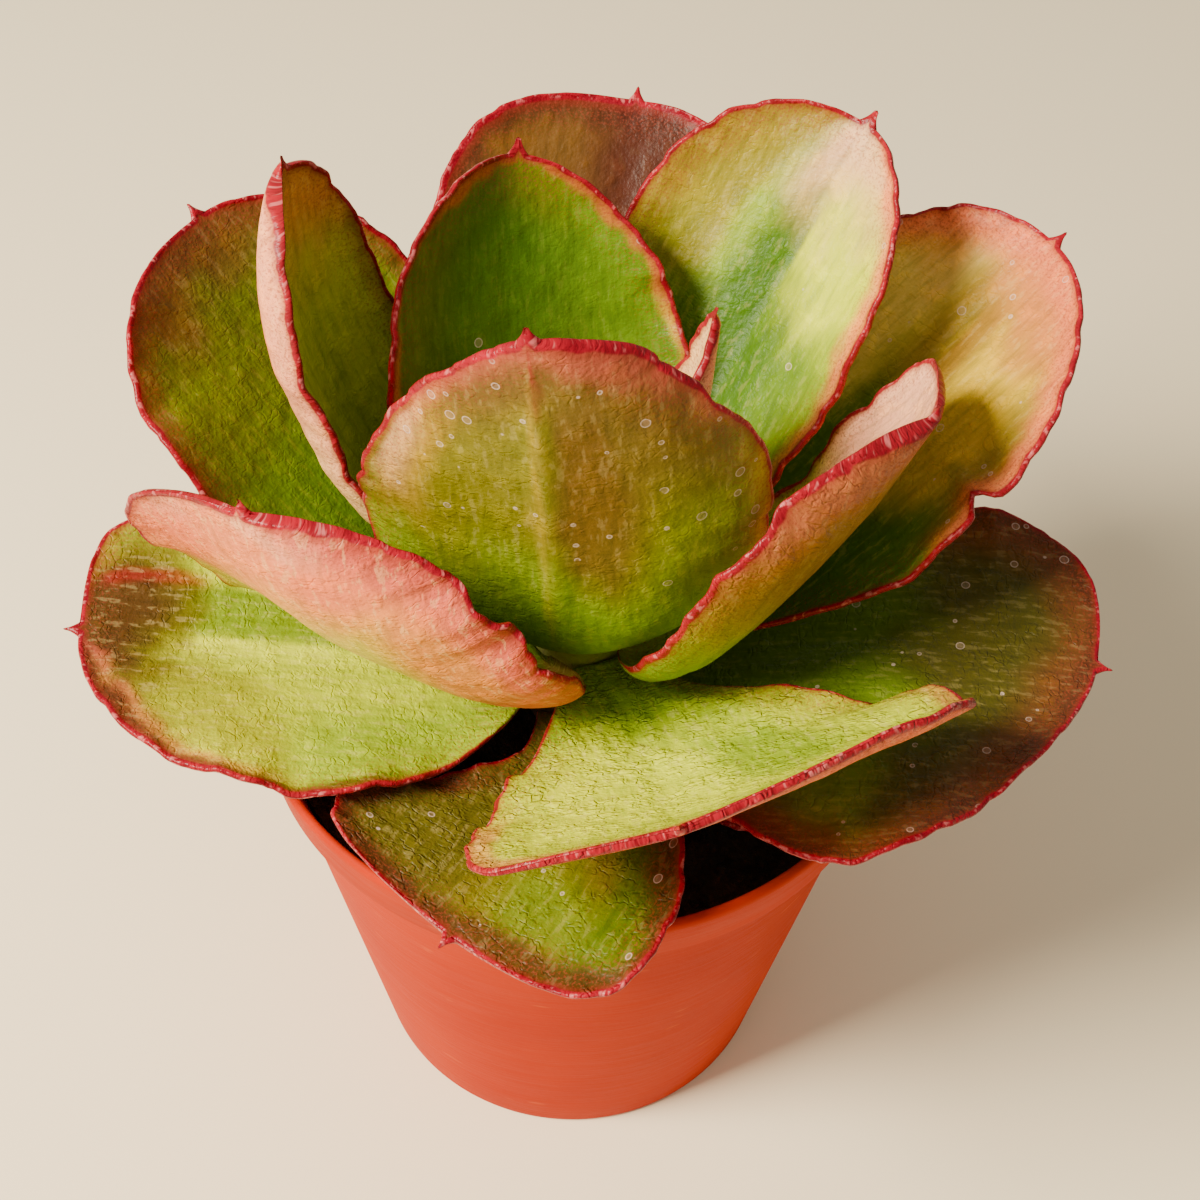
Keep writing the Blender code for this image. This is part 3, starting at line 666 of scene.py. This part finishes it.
def add_leaf(name, number, material):
    """Fine leaf in place of its CAD node, with the values its material reads."""
    relief = {"groove": 0.5, "keel": 0.4, "spine_width": 3, "crimp": 1, "scallop": 1, "notch": (None, None),
              **RELIEF.get(name, {})}
    dice = np.random.default_rng(number + 1)
    top, under, tip, run, sideways, inwards = leaf_surfaces(dice, relief, **LEAVES[name])
    rows, columns = top.shape[:2]
    size = rows * columns
    points = np.concatenate([top.reshape(-1, 3), under.reshape(-1, 3), tip[None]])
    faces = grid_faces(rows, columns, 0, False) + grid_faces(rows, columns, size, True)
    for i in range(rows - 1):
        right, right_next = i * columns, (i + 1) * columns
        left, left_next = right + columns - 1, right_next + columns - 1
        faces.append((right_next, right, right + size, right_next + size))
        faces.append((left, left_next, left_next + size, left + size))
    last = (rows - 1) * columns
    for j in range(columns - 1):
        faces.append((j, j + 1, j + 1 + size, j + size))
        faces.append((last + j + 1, last + j, 2 * size))
        faces.append((last + j + size, last + j + 1 + size, 2 * size))
    faces.append((last, last + size, 2 * size))
    faces.append((last + columns - 1 + size, last + columns - 1, 2 * size))
    piece = add_mesh(name + "_fine", points, faces, material)
    reach = np.where(sideways < 0, -sideways[:, :1], sideways[:, -1:])
    values, flat = leaf_values(name, number, run, sideways, inwards, reach)
    for key, value in values.items():
        layer = piece.data.attributes.new(key, "FLOAT", "POINT")
        layer.data.foreach_set("value", value.astype(np.float32))
    layer = piece.data.attributes.new("blade_mm", "FLOAT_VECTOR", "POINT")
    layer.data.foreach_set("vector", flat.astype(np.float32).ravel())
    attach(piece, "root")
    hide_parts(name)
    return piece


def lathe(profile, segments):
    """Points and faces of a profile turned about Z, closed at its two ends on the axis."""
    angles = 2 * pi * np.arange(segments) / segments
    points = [(0, 0, profile[0][1])]
    for radius, z in profile[1:-1]:
        points += [(radius * cos(a), radius * sin(a), z) for a in angles]
    points.append((0, 0, profile[-1][1]))
    faces = []
    rings = len(profile) - 2
    for k in range(segments):
        after = (k + 1) % segments
        faces.append((0, 1 + after, 1 + k))
        for ring in range(rings - 1):
            low = 1 + ring * segments
            high = low + segments
            faces.append((low + k, low + after, high + after, high + k))
        top = 1 + (rings - 1) * segments
        faces.append((top + k, top + after, len(points) - 1))
    return np.array(points), faces


def pot_profile():
    """Radius and height along the pot's section, from under its floor over the rim to the floor inside."""
    band_foot = POT_HEIGHT - RIM_BAND_HEIGHT
    band_foot_radius = POT_RIM_RADIUS - 1 * MM
    wall_top_radius = band_foot_radius - RIM_BAND_STEP
    low = [(0, 0), (POT_FOOT_RADIUS - 1 * MM, 0), (POT_FOOT_RADIUS - 0.3 * MM, 0.3 * MM),
           (POT_FOOT_RADIUS, 1 * MM)]
    wall = [
        (POT_FOOT_RADIUS + (wall_top_radius - POT_FOOT_RADIUS) * s, 1 * MM + (band_foot - 1 * MM) * s)
        for s in (0.1, 0.25, 0.4, 0.55, 0.7, 0.85, 0.96)
    ]
    band = [
        (wall_top_radius, band_foot - 0.3 * MM),
        (wall_top_radius + 0.4 * MM, band_foot),
        (band_foot_radius - 0.5 * MM, band_foot + 0.5 * MM),
        (band_foot_radius, band_foot + 1 * MM),
        (POT_RIM_RADIUS - 0.4 * MM, POT_HEIGHT - 3 * MM),
        (POT_RIM_RADIUS, POT_HEIGHT - 1.6 * MM),
        (POT_RIM_RADIUS, POT_HEIGHT - 0.6 * MM),
        (POT_RIM_RADIUS - 0.2 * MM, POT_HEIGHT - 0.15 * MM),
        (POT_RIM_RADIUS - 0.6 * MM, POT_HEIGHT),
        (POT_RIM_RADIUS - POT_WALL + 0.3 * MM, POT_HEIGHT - 0.1 * MM),
        (POT_RIM_RADIUS - POT_WALL, POT_HEIGHT - 0.5 * MM),
    ]
    inside = [
        (wall_top_radius - POT_WALL + 0.3 * MM, band_foot - 0.5 * MM),
        (wall_top_radius - POT_WALL, band_foot - 1.5 * MM),
        (POT_FOOT_RADIUS - POT_WALL, POT_FLOOR),
        (0, POT_FLOOR),
    ]
    return low + wall + band + inside


def pot_inner_radius(z):
    """Radius of the pot's inside at a height."""
    low = POT_FOOT_RADIUS - POT_WALL
    knee = POT_RIM_RADIUS - 1 * MM - RIM_BAND_STEP - POT_WALL
    heights = (POT_FLOOR, POT_HEIGHT - RIM_BAND_HEIGHT - 1 * MM, POT_HEIGHT - 0.4 * MM)
    return float(np.interp(z, heights, (low, knee, POT_RIM_RADIUS - POT_WALL)))


def add_pot(material):
    """Pot with a rim band, and drain holes through its floor."""
    points, faces = lathe(pot_profile(), POT_SEGMENTS)
    pot = add_mesh("pot_fine", points, faces, material)
    cutter_points = []
    cutter_faces = []
    for hole in range(DRAIN_HOLE_COUNT):
        around = 2 * pi * (hole + 0.5) / DRAIN_HOLE_COUNT
        centre = np.array([DRAIN_HOLE_CIRCLE * cos(around), DRAIN_HOLE_CIRCLE * sin(around), 0])
        plug, plug_faces = lathe(
            [(0, -5 * MM), (DRAIN_HOLE_RADIUS, -5 * MM), (DRAIN_HOLE_RADIUS, 5 * MM), (0, 5 * MM)], 48)
        cutter_faces += [tuple(corner + len(cutter_points) for corner in face) for face in plug_faces]
        cutter_points += list(plug + centre)
    cutter = add_mesh("drain_hole_cutter", cutter_points, cutter_faces, material)
    cut = pot.modifiers.new("drain_holes", "BOOLEAN")
    cut.operation = "DIFFERENCE"
    cut.solver = "EXACT"
    cut.object = cutter
    pierced = bpy.data.meshes.new_from_object(pot.evaluated_get(bpy.context.evaluated_depsgraph_get()))
    pot.modifiers.clear()
    pot.data = pierced
    bpy.data.objects.remove(cutter)
    pot.data.polygons.foreach_set("use_smooth", [True] * len(pot.data.polygons))
    pot.data.set_sharp_from_angle(angle=radians(50))
    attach(pot, "root")
    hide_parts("pot")
    return pot


def crumb(centre, size, dice):
    """Points and faces of a small rough lump."""
    squash = dice.uniform(0.6, 1, 3) * size
    spin = Matrix.Rotation(dice.uniform(0, 2 * pi), 3, "Z") @ Matrix.Rotation(dice.uniform(0, pi), 3, "X")
    points = []
    for ring in range(1, 4):
        lift = cos(pi * ring / 4)
        for k in range(6):
            around = 2 * pi * (k + 0.5 * ring) / 6
            reach = sin(pi * ring / 4) * dice.uniform(0.8, 1.15)
            points.append((reach * cos(around), reach * sin(around), lift * dice.uniform(0.85, 1.1)))
    points.append((0, 0, 1))
    points.append((0, 0, -1))
    points = (np.array(points) * squash) @ np.array(spin).T + centre
    faces = []
    for k in range(6):
        after = (k + 1) % 6
        faces.append((18, k, after))
        faces.append((19, 12 + after, 12 + k))
        for ring in (0, 6):
            faces.append((ring + k, ring + 6 + k, ring + 6 + after, ring + after))
    return points, faces


def add_soil(material):
    """Lumpy soil with loose crumbs on it."""
    segments = 220
    rings = 64
    hole = STEM_LOW_RADIUS + TOUCH_GAP
    edge = pot_inner_radius(SOIL_LEVEL) - 0.5 * MM
    low = POT_FLOOR + TOUCH_GAP
    profile = [(0, low), (pot_inner_radius(low) - 0.5 * MM, low),
               (pot_inner_radius(0.08) - 0.5 * MM, 0.08), (edge, SOIL_LEVEL - 1 * MM)]
    profile += [(hole + (edge - hole) * s, SOIL_LEVEL) for s in np.linspace(1, 0, rings)]
    profile += [(hole, STEM_FOOT - TOUCH_GAP), (0, STEM_FOOT - TOUCH_GAP)]
    points, faces = lathe(profile, segments)
    first = 1 + 3 * segments
    for k in range(first, first + rings * segments):
        x, y = points[k][:2]
        radius = (x * x + y * y) ** 0.5
        fade = min(1, (edge - radius) / (2 * MM)) * min(1, max(0, (radius - hole) / (2 * MM)))
        lump = 1.1 * noise.noise((x * 150, y * 150, 1)) + 0.8 * noise.noise((x * 420, y * 420, 2))
        lump += 0.5 * noise.noise((x * 1100, y * 1100, 3))
        points[k, 2] += (lump * fade - 0.3) * MM
    points = list(points)
    dice = np.random.default_rng(11)
    kinds = [0] * len(faces)
    for number in range(620):
        around = dice.uniform(0, 2 * pi)
        radius = (dice.uniform((hole + 2 * MM) ** 2, (edge - 2 * MM) ** 2)) ** 0.5
        size = dice.choice((0.5, 0.8, 1.2, 1.8), p=(0.4, 0.35, 0.2, 0.05)) * MM
        centre = (radius * cos(around), radius * sin(around), SOIL_LEVEL + 0.2 * MM + 0.2 * size)
        lump_points, lump_faces = crumb(centre, size, dice)
        faces += [tuple(corner + len(points) for corner in face) for face in lump_faces]
        points += list(lump_points)
        kinds += [1 if number % 40 == 0 else 0] * len(lump_faces)
    soil = add_mesh("soil_fine", points, faces, material)
    pale = soil.data.attributes.new("pale", "FLOAT", "FACE")
    pale.data.foreach_set("value", np.array(kinds, dtype=np.float32))
    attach(soil, "root")
    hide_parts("soil")
    return soil


def add_stem(material):
    """Stem with the ridges of old leaf scars."""
    heights = np.concatenate([[STEM_FOOT], np.linspace(SOIL_LEVEL, STEM_TOP, 60)])
    profile = [(0, STEM_FOOT)] + [(stem_radius(z) - 0.05 * MM, z) for z in heights] + [(0, STEM_TOP)]
    points, faces = lathe(profile, 72)
    for k in range(1, len(points) - 1):
        x, y, z = points[k]
        scar = 0.12 * MM * (sin(z * 1900) + noise.noise((x * 400, y * 400, z * 600)))
        points[k, 0] *= 1 - abs(scar) / STEM_LOW_RADIUS
        points[k, 1] *= 1 - abs(scar) / STEM_LOW_RADIUS
    stem = add_mesh("stem_fine", points, faces, material)
    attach(stem, "root")
    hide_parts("stem")
    return stem


class Shading:
    """Small helper that adds nodes to a material and links them."""

    def __init__(self, name):
        self.material = bpy.data.materials.new(name)
        self.material.use_nodes = True
        self.tree = self.material.node_tree
        self.shader = self.tree.nodes["Principled BSDF"]

    def put(self, socket, value):
        """Links a node's output to a socket, or sets a constant."""
        if isinstance(value, bpy.types.NodeSocket):
            self.tree.links.new(value, socket)
        elif isinstance(value, tuple) and len(value) == 3 and socket.type == "RGBA":
            socket.default_value = (*value, 1)
        else:
            socket.default_value = value

    def add(self, kind, inputs, output=0, **settings):
        """Output socket of a new node with these inputs and settings."""
        node = self.tree.nodes.new(kind)
        for key, value in settings.items():
            setattr(node, key, value)
        for key, value in inputs.items():
            self.put(node.inputs[key], value)
        return node.outputs[output]

    def attribute(self, name, output="Fac"):
        """Value that the mesh carries."""
        return self.add("ShaderNodeAttribute", {}, output, attribute_name=name)

    def math(self, operation, a, b=0.0, c=0.0):
        """Result of a sum on numbers."""
        return self.add("ShaderNodeMath", {0: a, 1: b, 2: c}, operation=operation)

    def ramp(self, value, low, high, to_low=0.0, to_high=1.0):
        """Smooth step of a value between two limits."""
        return self.add("ShaderNodeMapRange", {"Value": value, "From Min": low, "From Max": high,
                                               "To Min": to_low, "To Max": to_high},
                        interpolation_type="SMOOTHSTEP")

    def mix(self, share, a, b, blend="MIX"):
        """Mix of two colours."""
        return self.add("ShaderNodeMix", {0: share, 6: a, 7: b}, 2, data_type="RGBA", blend_type=blend)

    def noise(self, vector, scale, detail=3.0, roughness=0.55):
        """Noise between about 0.3 and 0.7."""
        return self.add("ShaderNodeTexNoise", {"Vector": vector, "Scale": scale, "Detail": detail,
                                               "Roughness": roughness})

    def stretch(self, vector, scale):
        """A vector scaled along each axis."""
        return self.add("ShaderNodeMapping", {"Vector": vector, "Scale": scale})

    def bump(self, height, distance, normal=None, strength=1.0):
        """Bumped normal."""
        inputs = {"Height": height, "Distance": distance, "Strength": strength}
        if normal is not None:
            inputs["Normal"] = normal
        return self.add("ShaderNodeBump", inputs)

    def finish(self, **inputs):
        """Sets the shader's inputs and returns the material."""
        for key, value in inputs.items():
            self.put(self.shader.inputs[key.replace("_", " ")], value)
        return self.material


def leaf_material():
    """Fleshy waxy skin: the painted colours with grain and flecks, a red margin line with painted glints,
    darker wrinkle creases that are partly painted shade, dried drops.
    """
    s = Shading("leaf_skin_fine")
    place = s.attribute("blade_mm", "Vector")
    inwards = s.attribute("inwards")
    skin = s.add("ShaderNodeCombineColor", {0: s.attribute("red"), 1: s.attribute("green"),
                                            2: s.attribute("blue")})
    patches = s.noise(place, 0.25, 3.0, 0.6)
    fine = s.noise(place, 2.2, 2.0, 0.65)
    grain = s.noise(place, 6.0, 1.0, 0.6)
    streaks = s.noise(s.stretch(place, (0.9, 0.16, 1)), 1.0, 3.0, 0.6)
    mottle = s.noise(s.stretch(place, (1.1, 0.55, 1)), 1.0, 2.0, 0.5)
    bent = s.add("ShaderNodeTexNoise", {"Vector": place, "Scale": 0.7, "Detail": 1.0}, "Color")
    bent = s.add("ShaderNodeVectorMath", {0: s.stretch(place, (0.38, 0.62, 1)), 1: bent}, operation="ADD")
    crack = s.add("ShaderNodeTexVoronoi", {"Vector": bent, "Scale": 1.0}, "Distance",
                  feature="DISTANCE_TO_EDGE")
    crack = s.ramp(crack, 0.0, 0.14)

    darker = s.mix(1.0, skin, (0.5, 0.58, 0.5), "MULTIPLY")
    skin = s.mix(s.ramp(streaks, 0.55, 0.3, 0.0, 0.5), skin, darker)
    lighter = s.mix(1.0, skin, (1.35, 1.3, 1), "MULTIPLY")
    skin = s.mix(s.ramp(patches, 0.48, 0.68, 0.0, 0.65), skin, lighter)
    fleck = s.math("MULTIPLY", s.attribute("fleck"),
                   s.ramp(s.math("MULTIPLY_ADD", mottle, 0.7, streaks), 0.9, 1.02, 0.0, 0.5))
    skin = s.mix(fleck, skin, s.mix(0.4, skin, (0.95, 0.75, 0.3)))
    blush = s.math("MULTIPLY", s.ramp(inwards, 9.0, 1.0), s.ramp(fine, 0.5, 0.62, 0.0, 0.55))
    skin = s.mix(blush, skin, (0.26, 0.04, 0.02))
    # darker along the wrinkle creases: partly the brownish lines of the wrinkles, partly painted shade in
    # the creases
    crease_shade = s.math("MULTIPLY", s.attribute("wrinkle"), s.math("MULTIPLY_ADD", crack, -0.4, 0.4))
    skin = s.mix(s.math("MULTIPLY", crease_shade, s.ramp(patches, 0.42, 0.6)), skin, darker)
    speck = s.ramp(grain, 0.66, 0.74, 0.0, 0.45)
    skin = s.mix(speck, skin, (0.1, 0.04, 0.02))

    drops = s.add("ShaderNodeTexVoronoi", {"Vector": place, "Scale": 0.42, "Randomness": 1.0},
                  "Distance", voronoi_dimensions="3D")
    dice = s.add("ShaderNodeTexVoronoi", {"Vector": place, "Scale": 0.42, "Randomness": 1.0},
                 "Color", voronoi_dimensions="3D")
    chance = s.add("ShaderNodeSeparateColor", {0: dice}, 0)
    size = s.math("MULTIPLY_ADD", s.add("ShaderNodeSeparateColor", {0: dice}, 1), 0.22, 0.12)
    chosen = s.math("LESS_THAN", chance, s.math("MULTIPLY", s.attribute("drops"), 0.4))
    disc = s.math("MULTIPLY", chosen, s.ramp(s.math("SUBTRACT", drops, size), 0.0, -0.04))
    ring = s.math("MULTIPLY", disc, s.ramp(s.math("SUBTRACT", drops, size), -0.1, -0.05))
    skin = s.mix(s.math("MULTIPLY", disc, 0.15), skin, (0.6, 0.4, 0.3))
    skin = s.mix(s.math("MULTIPLY", ring, 0.4), skin, (0.8, 0.62, 0.55))

    edge = s.math("DIVIDE", s.math("MULTIPLY_ADD", patches, 0.9, s.math("SUBTRACT", inwards, 0.45)),
                  s.attribute("edge"))
    line = s.mix(s.ramp(patches, 0.4, 0.6), (0.22, 0.001, 0.012), (0.34, 0.003, 0.018))
    line = s.mix(s.ramp(fine, 0.5, 0.34, 0.0, 0.5), line, (0.06, 0.002, 0.004))
    skin = s.mix(s.ramp(edge, 2.6, 0.9, 0.0, 0.5), skin, (0.24, 0.016, 0.012))
    skin = s.mix(s.ramp(edge, 1.2, 0.8, 0.0, 0.95), skin, line)
    # painted highlight: pale glints painted on the red margin line
    glint = s.math("MULTIPLY", s.ramp(edge, 0.9, 0.4), s.ramp(mottle, 0.56, 0.66, 0.0, 0.5))
    skin = s.mix(glint, skin, (0.7, 0.2, 0.2))

    creased = s.math("MULTIPLY", s.attribute("wrinkle"), s.ramp(patches, 0.42, 0.6, 0.15, 1.0))
    normal = s.bump(s.math("MULTIPLY", crack, creased), 0.00022)
    normal = s.bump(patches, 0.0004, normal)
    normal = s.bump(fine, 0.00006, normal)
    roughness = s.math("MULTIPLY_ADD", fine, 0.3, s.ramp(edge, 1.0, 0.4, 0.26, 0.14))
    return s.finish(Base_Color=skin, Roughness=roughness, Normal=normal, Specular_IOR_Level=0.15)


def pot_material():
    """Satin terracotta-coloured plastic with faint level scuffs."""
    s = Shading("pot_plastic_fine")
    place = s.add("ShaderNodeTexCoord", {}, "Object")
    broad = s.noise(place, 25.0, 3.0)
    scuffs = s.noise(s.stretch(place, (60, 60, 1500)), 1.0, 4.0, 0.7)
    marks = s.noise(s.stretch(place, (110, 110, 420)), 1.0, 2.0, 0.5)
    fine = s.noise(place, 900.0, 3.0, 0.6)
    colour = s.mix(s.ramp(broad, 0.3, 0.7), (0.38, 0.018, 0.0005), (0.44, 0.025, 0.001))
    colour = s.mix(s.ramp(scuffs, 0.58, 0.78, 0.0, 0.3), colour, (0.5, 0.04, 0.003))
    colour = s.mix(s.ramp(marks, 0.68, 0.76, 0.0, 0.4), colour, (0.62, 0.11, 0.02))
    colour = s.mix(s.ramp(fine, 0.7, 0.78, 0.0, 0.3), colour, (0.3, 0.05, 0.02))
    normal = s.bump(fine, 0.00005)
    normal = s.bump(scuffs, 0.00008, normal)
    return s.finish(Base_Color=colour, Roughness=s.ramp(scuffs, 0.3, 0.75, 0.45, 0.6), Normal=normal,
                    Specular_IOR_Level=0.03)


def soil_material():
    """Dark damp peat with a few pale bits."""
    s = Shading("soil_mix_fine")
    place = s.add("ShaderNodeTexCoord", {}, "Object")
    clods = s.noise(place, 260.0, 5.0, 0.65)
    grit = s.noise(place, 1400.0, 3.0, 0.6)
    colour = s.mix(s.ramp(clods, 0.35, 0.7), (0.006, 0.004, 0.003), (0.035, 0.022, 0.013))
    colour = s.mix(s.ramp(grit, 0.68, 0.76, 0.0, 0.6), colour, (0.18, 0.13, 0.09))
    colour = s.mix(s.attribute("pale"), colour, (0.4, 0.35, 0.28))
    normal = s.bump(clods, 0.0015)
    normal = s.bump(grit, 0.0004, normal)
    return s.finish(Base_Color=colour, Roughness=0.9, Normal=normal)


def stem_material():
    """Rough stem, greener towards the top."""
    s = Shading("stem_bark_fine")
    place = s.add("ShaderNodeTexCoord", {}, "Object")
    height = s.add("ShaderNodeSeparateXYZ", {0: place}, 2)
    rough = s.noise(place, 500.0, 4.0, 0.6)
    colour = s.mix(s.ramp(height, 0.085, 0.1), (0.1, 0.06, 0.03), (0.25, 0.28, 0.05))
    colour = s.mix(s.ramp(rough, 0.45, 0.7, 0.0, 0.5), colour, (0.3, 0.2, 0.12))
    return s.finish(Base_Color=colour, Roughness=0.7, Normal=s.bump(rough, 0.0006))


def floor_material():
    """Plain pale floor."""
    s = Shading("floor_plain")
    place = s.add("ShaderNodeTexCoord", {}, "Object")
    soft = s.noise(place, 3.0, 2.0)
    return s.finish(Base_Color=s.mix(soft, (0.93, 0.8, 0.56), (0.96, 0.85, 0.62)), Roughness=0.7)


def add_floor():
    """Wide floor under the pot."""
    points = [(-3, -3, 0), (3, -3, 0), (3, 3, 0), (-3, 3, 0)]
    floor = add_mesh("floor", points, [(0, 1, 2, 3)], floor_material())


def add_lamp(name, place, aim, size, power, color):
    """Square lamp that points at a place."""
    lamp = bpy.data.lights.new(name, "AREA")
    lamp.size = size
    lamp.energy = power
    lamp.color = color
    holder = bpy.data.objects.new(name, lamp)
    away = np.array(place) - np.array(aim)
    away = away / np.linalg.norm(away)
    right = np.cross((0, 0, 1), away)
    right = right / np.linalg.norm(right)
    up = np.cross(away, right)
    rows = [(*row, at) for row, at in zip(np.stack([right, up, away], 1), place)]
    holder.matrix_world = Matrix(rows + [(0, 0, 0, 1)])
    bpy.context.scene.collection.objects.link(holder)


def add_lights():
    """Soft key from the upper left and an even pale surround."""
    add_lamp("key", (-0.56, -0.28, 0.68), (0, 0, 0.1), 0.32, 23, (1, 0.89, 0.7))
    world = bpy.data.worlds.new("surround")
    bpy.context.scene.world = world
    world.use_nodes = True
    sky = world.node_tree.nodes["Background"]
    sky.inputs["Color"].default_value = (1, 0.93, 0.79, 1)
    sky.inputs["Strength"].default_value = 0.5


def add_camera():
    """Camera that matches the photo's view of the pot and plant."""
    tilt = radians(CAMERA_ELEVATION)
    turn = radians(CAMERA_ROLL)
    away = np.array([0, -cos(tilt), sin(tilt)])
    up = np.array([0, sin(tilt), cos(tilt)])
    right = np.array([1, 0, 0])
    rolled_right = cos(turn) * right + sin(turn) * up
    rolled_up = cos(turn) * up - sin(turn) * right
    place = np.array(CAMERA_TARGET) + CAMERA_DISTANCE * away
    axes = np.stack([rolled_right, rolled_up, away], 1)
    lens = bpy.data.cameras.new("camera")
    lens.sensor_width = 36
    lens.lens = CAMERA_LENS
    lens.clip_start = 0.01
    camera = bpy.data.objects.new("camera", lens)
    camera.matrix_world = Matrix([(*row, at) for row, at in zip(axes, place)] + [(0, 0, 0, 1)])
    bpy.context.scene.collection.objects.link(camera)
    bpy.context.scene.camera = camera


add_pot(pot_material())
add_soil(soil_material())
add_stem(stem_material())
skin = leaf_material()
for number, leaf in enumerate(LEAVES):
    add_leaf(leaf, number, skin)
add_floor()
add_lights()
add_camera()
